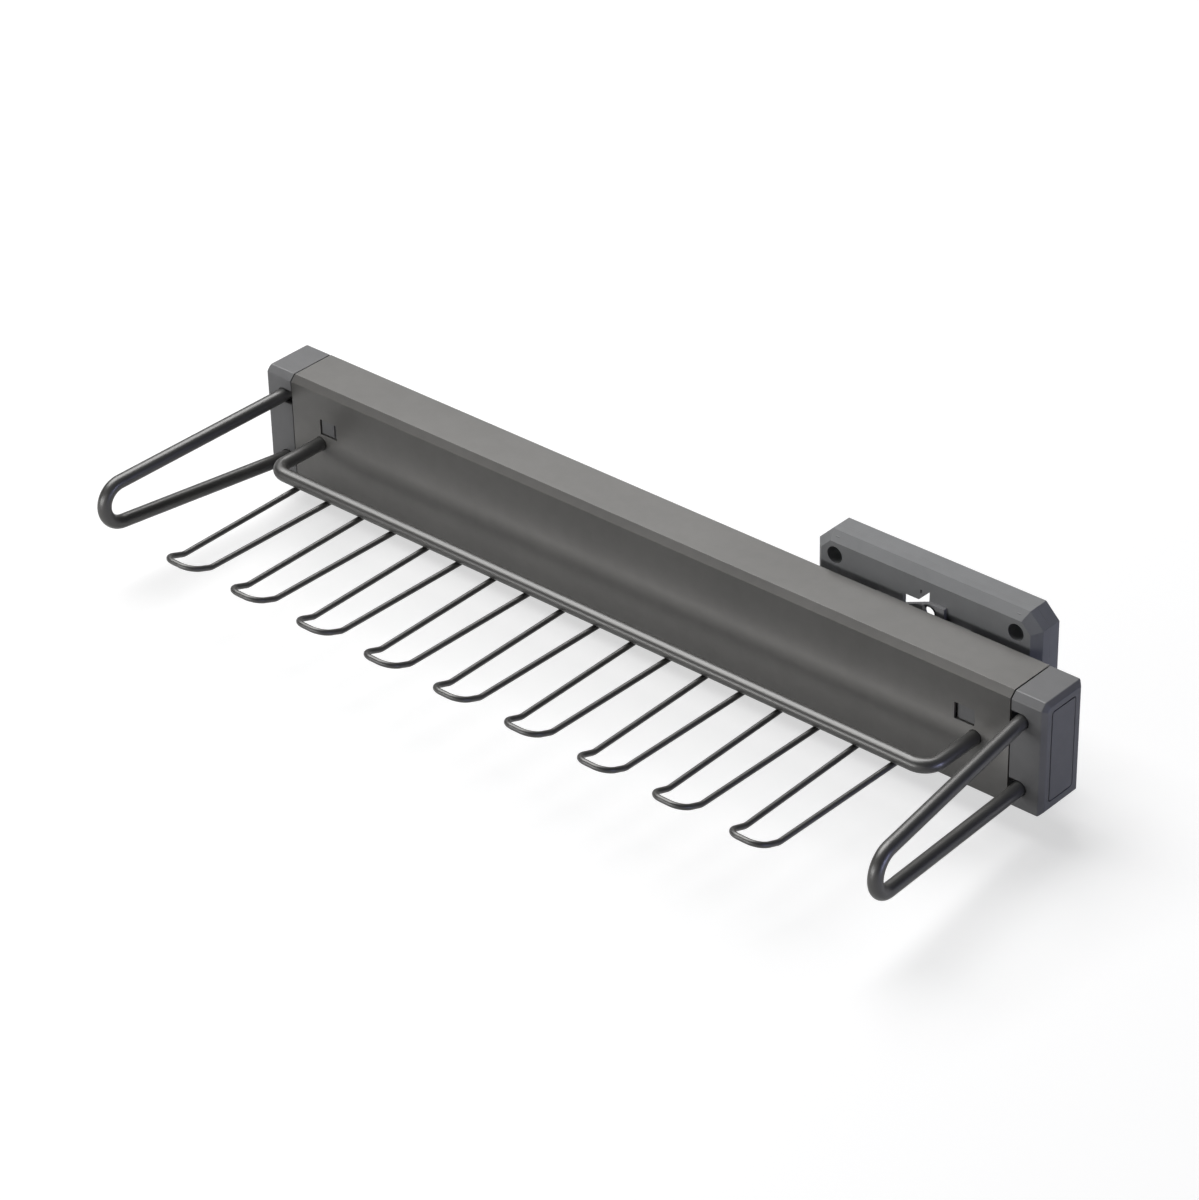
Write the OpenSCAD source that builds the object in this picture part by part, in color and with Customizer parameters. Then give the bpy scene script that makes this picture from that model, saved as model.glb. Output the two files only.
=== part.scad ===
// Pull-out tie rack: a slim housing that slides out past its wall plate, carrying a row of wire loops.
// X runs along the rack, with the pull end at +X, Y runs towards the wall, and Z is up.
// The origin is the middle of the wall plate's back face.

/* [Housing] */
// Length over both end caps
rack_length = 450; // [440:5:480]
// Height of the housing
rack_height = 55; // [54:0.5:58]
// Depth from the front face to the open back
rack_depth = 26.6; // [26:0.2:29]
// Thickness of the folded sheet
sheet = 1.5; // [1.2:0.1:1.7]
// Bevel along the top front edge
front_bevel = 2.9; // [2:0.1:4]
// Height of the lips folded in at the open back
lip_height = 3; // [2:0.5:4]

/* [End caps] */
// Width of each end cap
cap_width = 17.1; // [16.5:0.1:19]
// Wall of each end cap
cap_wall = 1.8; // [1.5:0.1:2]
// Thickness of the closed end
cap_end = 3; // [2.6:0.1:3.6]
// Bevel round the closed end
cap_bevel = 2; // [1:0.1:2.4]
// Width of the latch window in the housing
window_width = 10.5; // [9.5:0.1:11]
// Height of the latch window
window_height = 8; // [7:0.1:8.5]
// Distance of the latch window from the rack's end
window_inset = 35.3; // [35:0.1:36.5]
// Height of the latch window's lower edge above mid-height
window_rise = 3; // [2.6:0.1:4]

/* [Wall plate] */
// Distance between the screw holes along the rack
hole_span_x = 96; // [88:1:104]
// Distance between the screw holes upwards
hole_span_z = 64; // [62:1:72]
// Plate beyond the holes at each side
plate_side = 11.3; // [10.5:0.1:14]
// Plate beyond the holes at the top and bottom
plate_end = 10.1; // [9.5:0.1:13]
// Depth of the plate from the wall to its front
plate_depth = 14.9; // [13:0.1:17]
// Wall of the moulded plate
plate_wall = 2.2; // [1.8:0.1:2.6]
// Bevel round the front of the plate
plate_bevel = 3.85; // [2.5:0.05:4.5]
// Corner cut of the plate
plate_corner = 7.1; // [5:0.1:8]
// Bore for the wall screws
wall_screw_bore = 4.5; // [4:0.1:5.5]
// Counterbore for the heads of the wall screws
wall_head_bore = 8; // [7:0.1:9]
// Distance from the middle of the plate to the pull end of the closed rack
plate_inset = 86.9; // [84:0.1:92]
// Gap between the housing's back and the plate
rack_gap = 5.3; // [5:0.1:7]

/* [Bar and side loops] */
// Diameter of the bar and of the side loops
rod_d = 6.6; // [6:0.1:6.8]
// Distance of the bar's legs from the ends
bar_inset = 35; // [34.5:0.1:36]
// Reach of the bar from the front face to its middle
bar_reach = 31.3; // [28:0.1:40]
// Bend radius of the bar
bar_bend = 8; // [7:0.5:12]
// Height of the bar's middle below mid-height
bar_drop = 2; // [1.6:0.1:4]
// Distance of the side loops from the ends
side_inset = 11.8; // [11:0.1:12.2]
// Distance between the legs of a side loop at the front face
side_spread = 33.2; // [32:0.1:36]
// Reach of a side loop to the middle of its nose
side_reach = 107.2; // [95:0.1:120]
// Bend radius of the nose
side_nose = 10.3; // [9:0.1:12]
// Angle by which the side loops spread outwards
side_splay = 4.75; // [2:0.05:5]
// Angle by which the side loops rise
side_rise = 0.43; // [0:0.01:0.6]
// Height of the side loops' middle below mid-height
side_drop = 1; // [0.6:0.1:1.4]

/* [Tie loops] */
// Number of tie loops
loop_count = 9; // [9:1:9]
// Distance from the bar's legs to the middle of the outermost loops
row_margin = 26.4; // [22:0.1:30]
// Shift of the row towards the closed end
loop_shift = 1.5; // [0:0.1:3]
// Diameter of the loop wire
wire_d = 2.7; // [2.4:0.1:3]
// Distance between a loop's legs at the bar
loop_root = 20; // [18:0.1:21]
// Distance between a loop's legs at the bend
loop_tip = 17.45; // [16:0.05:18]
// Distance of the bend from the front face
loop_bend_at = 102.8; // [90:0.1:120]
// Radius of the upward bend
loop_bend = 7.5; // [5:0.1:10]
// Angle of the upturned tip
loop_lift = 19.7; // [10:0.1:30]
// Straight stretch of the upturned tip
loop_straight = 5.2; // [3:0.1:8]
// Radius of the tip's corners
loop_corner = 6.5; // [5:0.1:7.5]

/* [Slide] */
// Room between the rail and the housing, above and below
rail_room = 3.25; // [3:0.05:4]
// Depth of the rail
rail_depth = 12.7; // [12.2:0.1:13.2]
// Sheet of the rail and the slider
rail_sheet = 1.5; // [1.2:0.1:1.6]
// Distance of the rail from the rack's ends
rail_inset = 47.5; // [47:0.1:50]
// Length of the slider
slider_length = 80; // [76:1:90]
// Diameter of the balls
ball_d = 4.8; // [4.4:0.1:5]
// Distance from ball to ball
ball_pitch = 21; // [16:1:26]
// Length of each rubber bumper
bumper_length = 5; // [4:0.1:6]
// Sheet of the slide bracket
bracket_sheet = 2; // [1.6:0.1:2.2]
// Width of the slide bracket
bracket_width = 50; // [46:1:54]

/* [Hidden] */
$fn = 64;

// Overrun of every cut past the face it opens, and the clearance of seated pieces
over = 1;
fit = 0.1;
// Collars of the bent rods: how far a bend tucks into one, and a straight stops short of its end
collar_share = 1.01;
collar_length = 1.2;
collar_tuck = 0.3;
collar_gap = 0.1;
// How much shorter a bevel gets as its outline moves inwards
bevel_share = 2 - 2 * sin(45);

// Room between the slider and a bumper at each end of the travel
stop_gap = 0.5;

// Places and sizes worked out from the sizes above
front_y = plate_depth + rack_gap + rack_depth;
pull_travel = rack_length - 2 * rail_inset - slider_length - 2 * (bumper_length + stop_gap);
plate_x = rack_length - plate_inset;
plate_width = hole_span_x + 2 * plate_side;
plate_height = hole_span_z + 2 * plate_end;
rail_height = rack_height - 2 * (sheet + rail_room);
loop_pitch = (rack_length - 2 * (bar_inset + row_margin)) / (loop_count - 1);

// Latch tab, tongue and bar socket of an end cap
tab_width = 7.9;
tab_recess = 0.9;
tab_gap = 0.4;
tongue_depth = 4;
tongue_margin = 0.5;
tongue_foot = 12.5;
tongue_end = window_inset + window_width - tongue_margin;
tongue_front = sheet + fit;
tongue_back = tongue_front + tongue_depth;
tongue_top = window_rise + window_height + tongue_margin;
socket_d = 13;
socket_depth = 13;
socket_floor = 2.6;
socket_back = tongue_front + socket_depth;
bar_leg_depth = socket_back - socket_floor;
notch_gap = 0.2;

// End panels
panel_margin = 5.2;
panel_depth = 1.4;
panel_gap = 0.35;

// Hooked ends of the side loops, behind the tongues
hook_bend = 5;
hook_straight = 3;
hook_gap = 0.15;

// Bar screws
screw_d = 4;
screw_head_d = 7;
screw_head = 2.2;
bar_screw_length = 10;

// Rail fastening
stud_collar_d = 8;
stud_collar = 4.5;
stud_share = [0.08, 0.36, 0.64, 0.92];
nut_width = 7;
nut_sides = 6;
nut_depth = 3.2;
stud_tip = 0.8;
rail_y = sheet + stud_collar;

// Ball races and cages
ball_gap = 0.15;
race_r = ball_d / 2 + ball_gap;
race_angle = 55;
ball_u = rail_depth / 2;
ball_w = rail_height / 2 - rail_sheet - race_r;
slider_half = ball_w - race_r;
cage_sheet = 1;
cage_width = 7;
cage_end = 6;
cage_length = slider_length + pull_travel / 2;
slider_end = rack_length - rail_inset - bumper_length - stop_gap;

// Rubber bumpers
bumper_side = 1.25;
bumper_stem_d = 3;

// Slide bracket and its screws
bracket_arm = 14;
bracket_top = 23.5;
lug_top = 29.4;
lug_left = 4;
lug_right = 12.2;
lug_hole_d = 7.6;
lug_hole_x = 4.5;
lug_hole_z = 25.1;
lug_slope_share = 0.42;
bracket_screw_x = 20;
bracket_screw_z = 18;
slider_screw_x = 15;
slider_screw_z = slider_half / 2;
low_head = 1.6;
bracket_screw_depth = 5;

// Openings, bosses and ribs of the wall plate
pass_left = 11;
pass_right = 3;
pass_slope = 2.6;
pass_low = 21.5;
pass_sill = 27.3;
pass_high = 27.8;
pass_top = 33.5;
sight_hole_d = 5.9;
sight_hole_x = 2.9;
sight_hole_z = 23.2;
rib_from = 16;
boss_wall = 2.4;
wall_screw_floor = 3.4;
rib = 1.8;

// Gap under the bar where the loops are welded
weld_gap = 0.05;
loop_tail = 2;
loop_z = -bar_drop - rod_d / 2 - wire_d / 2 - weld_gap;

// Side loop: convergence of the legs and the places of its bends
side_half = side_spread / 2;
nose_at = side_reach - side_nose;
side_converge = acos(side_nose / norm([side_half, nose_at])) - atan2(nose_at, side_half);
hook_at = tongue_back + rod_d / 2 + hook_gap;
hook_turn = 90 + side_converge;
hook_tangent = hook_bend * tan(hook_turn / 2);
hook_corner = side_half + hook_at * tan(side_converge);
leg_straight = hook_at / cos(side_converge) - hook_tangent
    + nose_at * cos(side_converge) + side_half * sin(side_converge);

case_colour = [0.24, 0.23, 0.22];
cap_colour = [0.22, 0.23, 0.25];
rod_colour = [0.30, 0.28, 0.27];
plate_colour = [0.32, 0.33, 0.35];
steel_colour = [0.75, 0.76, 0.78];
rubber_colour = [0.12, 0.12, 0.12];

// Frames: the rack's own frame starts at its closed end, on the front face, at mid-height
module in_rack() { translate([-plate_x, -front_y, 0]) children(); }
module at_pull_end() { translate([rack_length, 0, 0]) mirror([1, 0, 0]) children(); }
module along_x(length) { rotate([90, 0, 90]) linear_extrude(length) children(); }
module along_y(diameter, from, to) {
    translate([0, from, 0]) rotate([-90, 0, 0]) cylinder(d = diameter, h = to - from);
}
module both_sides() {
    children();
    mirror([0, 1]) children();
}

// Bent rods: each step is a straight length, then a turn to the left and its radius.
// A bend tucks into a collar, a hair thicker than the rod, on the end of each straight beside it.
module straight_rod(diameter, from, to) {
    translate([from, 0, 0]) rotate([0, 90, 0]) cylinder(d = diameter, h = to - from);
}
module collar(diameter, from) { straight_rod(diameter * collar_share, from, from + collar_length); }
module bend(diameter, turn, radius) {
    tuck = collar_tuck / radius * 180 / PI;
    translate([0, radius, 0]) rotate([0, 0, -90 - tuck])
        rotate_extrude(angle = turn + 2 * tuck) translate([radius, 0]) circle(d = diameter);
}
module bent_rod(diameter, steps, at = 0) {
    step = steps[at];
    first = at == 0;
    last = at == len(steps) - 1;
    straight_rod(diameter, first ? 0 : collar_gap, last ? step[0] : step[0] - collar_gap);
    if (!first) collar(diameter, 0);
    if (!last) {
        collar(diameter, step[0] - collar_length);
        translate([step[0], 0, 0]) {
            bend(diameter, step[1], step[2]);
            translate([step[2] * sin(step[1]), step[2] * (1 - cos(step[1])), 0])
                rotate([0, 0, step[1]]) bent_rod(diameter, steps, at + 1);
        }
    }
}

// Outline of the housing and the caps, in depth and height, moved inwards by a wall
function case_outline(inset) =
    let (
        high = rack_height / 2 - inset,
        back = rack_depth - inset,
        bevel = max(front_bevel - inset * bevel_share, 0)
    )
    [[inset, -high], [inset, high - bevel], [inset + bevel, high], [back, high], [back, -high]];

module housing_section() {
    opening = rack_height - 2 * lip_height;
    difference() {
        polygon(case_outline(0));
        polygon(case_outline(sheet));
        translate([rack_depth - sheet - over, -opening / 2]) square([sheet + 2 * over, opening]);
    }
}

module latch_window(gap_x, gap_z, from, to) {
    translate([window_inset + gap_x, from, window_rise + gap_z])
        cube([window_width - 2 * gap_x, to - from, window_height - 2 * gap_z]);
}

module housing() {
    color(case_colour) in_rack() difference() {
        translate([cap_width, 0, 0]) along_x(rack_length - 2 * cap_width) housing_section();
        housing_end_cuts();
        at_pull_end() housing_end_cuts();
    }
}

module housing_end_cuts() {
    latch_window(0, 0, -over, sheet + over);
    translate([bar_inset, 0, -bar_drop]) along_y(rod_d + 2 * notch_gap, -over, sheet + over);
}

// End cap: a moulded shell, with a tongue that reaches behind the housing's front wall
module end_cap() {
    color(cap_colour) difference() {
        union() {
            difference() {
                cap_form();
                translate([cap_end, 0, 0]) along_x(cap_width) polygon(case_outline(cap_wall));
            }
            translate([cap_end / 2, tongue_front, -tongue_foot])
                cube([tongue_end - cap_end / 2, tongue_depth, tongue_foot + tongue_top]);
            translate([bar_inset, 0, -bar_drop]) along_y(socket_d, tongue_front, socket_back);
            latch_tab();
        }
        for (side = [-1, 1]) leg_notch(side);
        translate([bar_inset, 0, -bar_drop]) {
            along_y(rod_d + 2 * fit, -over, bar_leg_depth);
            along_y(screw_d + 2 * notch_gap, -over, socket_back + over);
        }
        translate([-over, 0, 0]) along_x(panel_depth + over) polygon(case_outline(panel_margin));
    }
}

// The cap's outside, with its closed end bevelled towards the front, the back, the top and the bottom
module cap_form() {
    half_z = rack_height / 2;
    half_y = rack_depth / 2;
    corner = (half_z + half_y - front_bevel) * sin(45);
    intersection() {
        along_x(cap_width) polygon(case_outline(0));
        cap_wedge(half_y, 0);
        cap_wedge(half_z, 90);
        cap_wedge(corner, 45);
    }
}

module cap_wedge(half, turn) {
    length = 2 * rack_height;
    end = cap_width + over;
    translate([0, rack_depth / 2, 0]) rotate([turn, 0, 0]) linear_extrude(length, center = true) polygon([
        [0, cap_bevel - half], [cap_bevel, -half], [end, -half],
        [end, half], [cap_bevel, half], [0, half - cap_bevel]
    ]);
}

module latch_tab() {
    translate([window_inset + tab_gap, tab_recess, window_rise + tab_gap])
        cube([tab_width, tongue_front + tongue_depth / 2 - tab_recess, window_height - 2 * tab_gap]);
}

module leg_notch(side) {
    width = rod_d + 2 * notch_gap;
    leg_z = side * side_half - side_drop;
    translate([side_inset, 0, leg_z]) along_y(width, -over, cap_wall + over);
    translate([side_inset, -over, leg_z - width / 2]) cube([cap_width, cap_wall + 2 * over, width]);
}

module end_panel() {
    color(cap_colour) along_x(panel_depth) polygon(case_outline(panel_margin + panel_gap));
}

// Side loop: a long hairpin of rod with hooked ends
module side_loop() {
    color(rod_colour) translate([side_inset, 0, -side_drop]) rotate([0, 0, -90 - side_splay])
        rotate([90, 0, 0]) rotate([0, 0, side_rise])
            translate([-hook_at, hook_tangent + hook_straight - hook_corner, 0]) rotate([0, 0, -90])
                bent_rod(rod_d, [
                    [hook_straight, hook_turn, hook_bend],
                    [leg_straight, 180 - 2 * side_converge, side_nose],
                    [leg_straight, hook_turn, hook_bend],
                    [hook_straight, 0, 0]
                ]);
}

module tie_bar() {
    leg = bar_leg_depth + bar_reach - bar_bend;
    run = rack_length - 2 * bar_inset - 2 * bar_bend;
    color(rod_colour) in_rack() difference() {
        translate([bar_inset, bar_leg_depth, -bar_drop]) rotate([0, 0, -90])
            bent_rod(rod_d, [[leg, 90, bar_bend], [run, 90, bar_bend], [leg, 0, 0]]);
        for (x = [bar_inset, rack_length - bar_inset])
            translate([x, 0, -bar_drop])
                along_y(screw_d + 2 * fit, bar_leg_depth - bar_screw_length - fit, bar_leg_depth + over);
    }
}

module bar_screws() {
    color(steel_colour) in_rack() for (x = [bar_inset, rack_length - bar_inset])
        translate([x, 0, -bar_drop]) {
            along_y(screw_d, bar_leg_depth - bar_screw_length + socket_floor, socket_back + screw_head);
            along_y(screw_head_d, socket_back, socket_back + screw_head);
        }
}

// Tie loop: a wire hairpin welded under the bar, with its tip bent upwards
module tie_loop(number) {
    shift = (number - (loop_count + 1) / 2) * loop_pitch - loop_shift;
    color(rod_colour) in_rack() translate([rack_length / 2 + shift, 0, loop_z]) {
        loop_leg();
        mirror([1, 0, 0]) loop_leg();
        loop_nose();
    }
}

module loop_leg() {
    start = bar_reach - loop_tail;
    run = loop_bend_at - start;
    taper = atan((loop_root - loop_tip) / 2 / run);
    length = run / cos(taper);
    translate([loop_root / 2, -start, 0]) rotate([0, 0, -90 - taper]) {
        straight_rod(wire_d, 0, length - collar_gap);
        collar(wire_d, length - collar_length);
    }
    at_loop_bend() bend(wire_d, loop_lift, loop_bend);
}

// Frame of a loop's upward bend: its own X runs away from the housing and its own Y up
module at_loop_bend() {
    translate([loop_tip / 2, -loop_bend_at, 0]) rotate([0, 0, -90]) rotate([90, 0, 0]) children();
}

module loop_nose() {
    at_loop_bend()
        translate([loop_bend * sin(loop_lift), loop_bend * (1 - cos(loop_lift)), 0])
            rotate([0, 0, loop_lift]) rotate([90, 0, 0]) {
                collar(wire_d, 0);
                translate([0, loop_tip, 0]) collar(wire_d, 0);
                translate([collar_gap, 0, 0]) bent_rod(wire_d, [
                    [loop_straight - collar_gap, 90, loop_corner],
                    [loop_tip - 2 * loop_corner, 90, loop_corner],
                    [loop_straight - collar_gap, 0, 0]
                ]);
            }
}

// Slide: a long rail in the housing runs on two rows of balls over a short slider
module race(direction) {
    outer = race_r + rail_sheet;
    far = 2 * outer;
    turns = [direction - race_angle, direction, direction + race_angle];
    translate([ball_u, ball_w]) difference() {
        intersection() {
            circle(outer);
            polygon([[0, 0], for (turn = turns) [far * cos(turn), far * sin(turn)]]);
        }
        circle(race_r);
    }
}

module rail_section() {
    translate([0, -rail_height / 2]) square([rail_sheet, rail_height]);
    both_sides() {
        translate([0, rail_height / 2 - rail_sheet]) square([rail_depth, rail_sheet]);
        race(90);
    }
}

module slider_section() {
    back = rail_depth - rail_sheet;
    translate([back, -slider_half]) square([rail_sheet, 2 * slider_half]);
    both_sides() {
        translate([ball_u - race_r, slider_half - rail_sheet])
            square([rail_depth + race_r - ball_u, rail_sheet]);
        race(270);
    }
}

module at_studs() {
    length = rack_length - 2 * rail_inset;
    for (share = stud_share) translate([rail_inset + share * length, 0, 0]) children();
}

module at_bumpers() {
    for (x = [rail_inset + bumper_length / 2, rack_length - rail_inset - bumper_length / 2])
        translate([x, 0, 0]) children();
}

module rail() {
    color(steel_colour) in_rack() difference() {
        translate([rail_inset, rail_y, 0]) along_x(rack_length - 2 * rail_inset) rail_section();
        at_studs() along_y(screw_d + 2 * notch_gap, rail_y - over, rail_y + rail_sheet + over);
        at_bumpers() along_y(bumper_stem_d + 2 * fit, rail_y - over, rail_y + rail_sheet + over);
    }
}

module rail_studs() {
    color(steel_colour) in_rack() at_studs() {
        along_y(stud_collar_d, sheet, rail_y);
        along_y(screw_d, sheet, rail_y + rail_sheet + nut_depth + stud_tip);
    }
}

module nut_body() { cylinder(d = nut_width / cos(180 / nut_sides), h = nut_depth, $fn = nut_sides); }

module rail_nuts() {
    from = rail_y + rail_sheet;
    color(steel_colour) in_rack() at_studs() difference() {
        translate([0, from, 0]) rotate([-90, 0, 0]) nut_body();
        along_y(screw_d + 2 * fit, from - over, from + nut_depth + over);
    }
}

module rail_bumper() {
    half = ball_w + bumper_side;
    from = rail_y + rail_sheet;
    color(rubber_colour) {
        translate([-bumper_length / 2, from, -half])
            cube([bumper_length, rail_depth - rail_sheet, 2 * half]);
        along_y(bumper_stem_d, rail_y, from);
    }
}

module slider() {
    color(steel_colour) in_rack() difference() {
        translate([slider_end - slider_length, rail_y, 0]) along_x(slider_length) slider_section();
        at_slider_screws() along_y(screw_d + 2 * fit, rail_y, rail_y + rail_depth + over);
    }
}

module at_slider_screws() {
    for (x = [-slider_screw_x, slider_screw_x], z = [-slider_screw_z, slider_screw_z])
        translate([plate_x + x, 0, z]) children();
}

module at_bracket_screws() {
    for (x = [-bracket_screw_x, bracket_screw_x], z = [-bracket_screw_z, bracket_screw_z])
        translate([plate_x + x, 0, z]) children();
}

module slider_screws() {
    seat = rail_y + rail_depth - rail_sheet;
    color(steel_colour) in_rack() at_slider_screws() {
        along_y(screw_head_d, seat - screw_head, seat);
        along_y(screw_d, seat - screw_head, rail_y + rail_depth + bracket_sheet);
    }
}

module cage(side) {
    from = slider_end - cage_length;
    middle = side * ball_w;
    color(steel_colour) in_rack() difference() {
        translate([from, rail_y + ball_u - cage_width / 2, middle - cage_sheet / 2])
            cube([cage_length, cage_width, cage_sheet]);
        at_balls(side) cylinder(r = race_r, h = cage_sheet + 2 * over, center = true);
    }
}

module at_balls(side) {
    room = cage_length - 2 * cage_end;
    count = floor(room / ball_pitch);
    spare = (room - count * ball_pitch) / 2;
    from = slider_end - cage_length + cage_end + spare;
    for (ball = [0 : count])
        translate([from + ball * ball_pitch, rail_y + ball_u, side * ball_w]) children();
}

module balls(side) { color(steel_colour) in_rack() at_balls(side) sphere(d = ball_d); }

// Slide bracket: a hat-shaped pressing between the slider and the wall plate
module slide_bracket() {
    from = rail_y + rail_depth;
    to = rack_depth + rack_gap;
    color(steel_colour) in_rack() difference() {
        union() {
            translate([plate_x - bracket_width / 2, 0, 0]) along_x(bracket_width) difference() {
                translate([from, -bracket_arm]) square([to - from, 2 * bracket_arm]);
                translate([from + bracket_sheet, bracket_sheet - bracket_arm])
                    square([to - from, 2 * (bracket_arm - bracket_sheet)]);
            }
            translate([plate_x, to, 0]) rotate([90, 0, 0]) linear_extrude(bracket_sheet) {
                bracket_flange();
                mirror([0, 1]) plain_flange();
            }
        }
        at_slider_screws() along_y(screw_d + 2 * fit, from - over, from + bracket_sheet + over);
        at_bracket_screws() along_y(screw_d + 2 * fit, to - bracket_sheet - over, to + over);
        translate([plate_x + lug_hole_x, 0, lug_hole_z])
            along_y(lug_hole_d, to - bracket_sheet - over, to + over);
    }
}

module plain_flange() {
    inner = bracket_arm - bracket_sheet;
    translate([-bracket_width / 2, inner]) square([bracket_width, bracket_top - inner]);
}

module bracket_flange() {
    plain_flange();
    foot = lug_left - (lug_top - bracket_top) / lug_slope_share;
    inner = bracket_arm - bracket_sheet;
    polygon([
        [foot, inner], [foot, bracket_top], [lug_left, lug_top], [lug_right, lug_top], [lug_right, inner]
    ]);
}

module bracket_screws() {
    seat = rack_depth + rack_gap - bracket_sheet;
    color(steel_colour) in_rack() at_bracket_screws() {
        along_y(screw_head_d, seat - low_head, seat);
        along_y(screw_d, seat - low_head, seat + bracket_sheet + bracket_screw_depth);
    }
}

// Wall plate: a moulded shell, open to the wall, with bosses for its screws
module plate_form(width, height, depth, corner) {
    diagonal = (width + height - 2 * corner) * sin(45);
    intersection() {
        plate_wedge(width, depth, width + height);
        rotate([0, 90, 0]) plate_wedge(height, depth, width + height);
        rotate([0, 45, 0]) plate_wedge(diagonal, depth, width + height);
        rotate([0, -45, 0]) plate_wedge(diagonal, depth, width + height);
    }
}

module plate_wedge(width, depth, length) {
    half = width / 2;
    linear_extrude(length, center = true) polygon([
        [-half, 0], [-half, plate_bevel - depth], [plate_bevel - half, -depth],
        [half - plate_bevel, -depth], [half, plate_bevel - depth], [half, 0]
    ]);
}

module at_wall_screws() {
    for (x = [-1, 1], z = [-1, 1]) translate([x * hole_span_x / 2, 0, z * hole_span_z / 2]) children();
}

module pass_outline() {
    translate([sight_hole_x, sight_hole_z]) circle(d = sight_hole_d);
    polygon([
        [-pass_left, pass_low], [pass_right, pass_sill], [pass_right, pass_top],
        [-pass_slope, pass_high], [-pass_left, pass_high]
    ]);
}

module mount_plate() {
    inner_w = plate_width - 2 * plate_wall;
    inner_h = plate_height - 2 * plate_wall;
    inner_depth = plate_depth - plate_wall + over;
    bracket_face = rack_depth + rack_gap;
    screw_end = bracket_face + bracket_screw_depth + fit;
    color(plate_colour) difference() {
        union() {
            difference() {
                plate_form(plate_width, plate_height, plate_depth, plate_corner);
                translate([0, over, 0]) plate_form(inner_w, inner_h, inner_depth, plate_corner);
            }
            intersection() {
                plate_form(plate_width, plate_height, plate_depth, plate_corner);
                plate_bosses();
            }
        }
        at_wall_screws() {
            along_y(wall_screw_bore, -plate_depth - over, over);
            along_y(wall_head_bore, -plate_depth - over, -wall_screw_floor);
        }
        in_rack() at_bracket_screws() along_y(screw_d + 2 * fit, bracket_face - over, screw_end);
        translate([0, plate_wall - plate_depth, 0]) rotate([90, 0, 0]) linear_extrude(plate_wall + over) {
            pass_outline();
            mirror([0, 1]) pass_outline();
        }
    }
}

module plate_bosses() {
    boss_end = plate_wall + bracket_screw_depth - plate_depth;
    at_wall_screws() along_y(wall_head_bore + 2 * boss_wall, -plate_depth, 0);
    for (x = [-1, 1], z = [-1, 1])
        translate([x * bracket_screw_x, 0, z * bracket_screw_z])
            along_y(screw_d + 2 * rib, -plate_depth, boss_end);
    for (x = [-1, 1])
        translate([x * hole_span_x / 2 - rib / 2, -plate_depth, -plate_height / 2])
            cube([rib, plate_depth, plate_height]);
    for (x = [-plate_width / 2, rib_from], z = [-1, 1])
        translate([x, -plate_depth, z * hole_span_z / 2 - rib / 2])
            cube([plate_width / 2 - rib_from, plate_depth, rib]);
    translate([-plate_width / 2, -plate_depth, -rib / 2]) cube([plate_width, plate_depth, rib]);
}

mount_plate();
slide_bracket();
bracket_screws();
slider();
slider_screws();
cage(1);  // cage_upper
cage(-1);  // cage_lower
balls(1);  // balls_upper
balls(-1);  // balls_lower
housing();
rail();
rail_studs();
rail_nuts();
in_rack() translate([rail_inset + bumper_length / 2, 0, 0]) rail_bumper();  // rail_bumper_left
in_rack() translate([rack_length - rail_inset - bumper_length / 2, 0, 0]) rail_bumper();  // rail_bumper_right
in_rack() end_cap();  // end_cap_left
in_rack() at_pull_end() end_cap();  // end_cap_right
in_rack() end_panel();  // end_panel_left
in_rack() at_pull_end() end_panel();  // end_panel_right
in_rack() side_loop();  // side_loop_left
in_rack() at_pull_end() side_loop();  // side_loop_right
tie_bar();
bar_screws();
tie_loop(1);  // tie_loop_1
tie_loop(2);  // tie_loop_2
tie_loop(3);  // tie_loop_3
tie_loop(4);  // tie_loop_4
tie_loop(5);  // tie_loop_5
tie_loop(6);  // tie_loop_6
tie_loop(7);  // tie_loop_7
tie_loop(8);  // tie_loop_8
tie_loop(9);  // tie_loop_9
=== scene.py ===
"""Pull-out tie rack, dressed over its CAD frame: housing, caps, loops, wall plate and slide."""

import math

import bmesh
import bpy
from mathutils import Matrix, Vector


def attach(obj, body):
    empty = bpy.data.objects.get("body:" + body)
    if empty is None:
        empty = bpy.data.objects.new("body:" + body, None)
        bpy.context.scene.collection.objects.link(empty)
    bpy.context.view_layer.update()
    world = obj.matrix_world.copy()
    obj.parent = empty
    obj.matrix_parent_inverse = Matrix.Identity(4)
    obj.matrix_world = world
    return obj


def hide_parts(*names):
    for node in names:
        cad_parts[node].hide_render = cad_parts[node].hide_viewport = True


# Lengths are millimetres and angles degrees, unless a comment says otherwise
MM = 0.001
# Coordinates closer than this are one and the same
NEAR = 0.01
# How far a cutter overruns the faces that it opens, and how far one goes beyond a single wall
OVER = 1.0
BEYOND = 5.0
# How far a rib or flange stops short of a face that it would otherwise share
SHY = 0.01
# A face looks along an axis when its normal has at least this share of it
FACING = 0.9
# About how far a bend of a rod turns from one ring of its mesh to the next
BEND_STEP = 6
# Clearance of seated pieces, and of the rods in their notches
FIT = 0.1
NOTCH_GAP = 0.2

# Rack and wall plate, the room between them, and the way from the pull end to the plate's middle
RACK_LENGTH = 450.0
RACK_DEPTH = 26.6
HALF_HEIGHT = 27.5
PLATE_DEPTH = 14.9
RACK_GAP = 5.3
PLATE_INSET = 86.9

# The rack's own frame: x from its closed left end, y from its front face towards the wall,
# z from its mid-height. The shared frame has its origin in the middle of the wall plate's back.
RACK_ORIGIN = Vector((PLATE_INSET - RACK_LENGTH, -(RACK_DEPTH + RACK_GAP + PLATE_DEPTH), 0.0))
FRONT_Y = RACK_ORIGIN.y
BACK_Y = RACK_ORIGIN.y + RACK_DEPTH

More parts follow.
